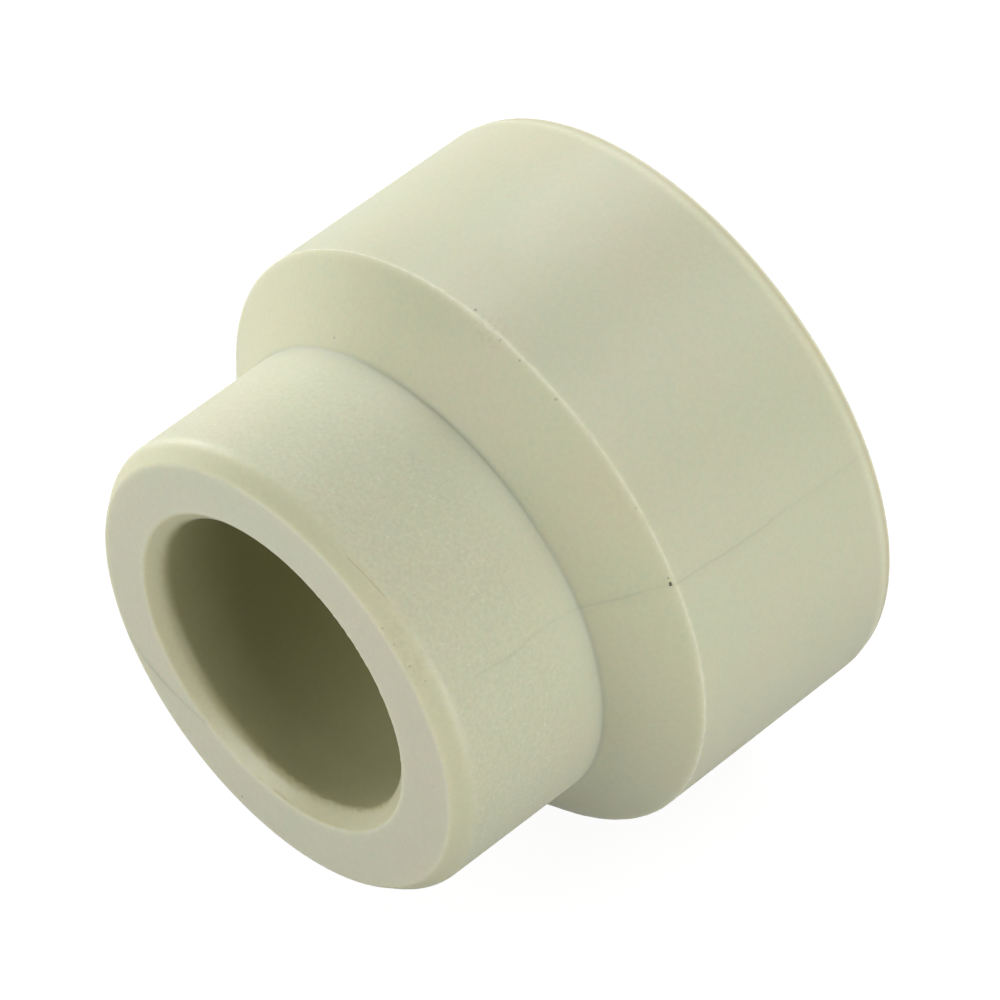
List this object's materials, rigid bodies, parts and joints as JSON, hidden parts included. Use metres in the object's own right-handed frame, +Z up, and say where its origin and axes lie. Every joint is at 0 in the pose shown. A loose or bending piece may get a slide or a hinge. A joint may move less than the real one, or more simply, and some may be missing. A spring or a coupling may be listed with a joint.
{
  "type": "socket reducer",
  "caption": "Plain stepped pipe reducer: a narrow and a wide welding socket on one axis, joined by a conical shoulder, moulded in one piece.",
  "frame": {"origin": "centre of the wide end face, on the flow axis", "axes": "+Y along the flow axis and out of the wide socket, so the narrow socket faces -Y; +Z up, as the fitting lies on its side"},
  "size_m": [0.048, 0.0384, 0.048],
  "materials": {
    "polypropylene_moulding": "satin, pale grey-green polypropylene with a fine spark-eroded grain on the narrow barrel"
  },
  "bodies": {
    "root": {"reducer_body": "polypropylene_moulding"}
  },
  "joints": []
}
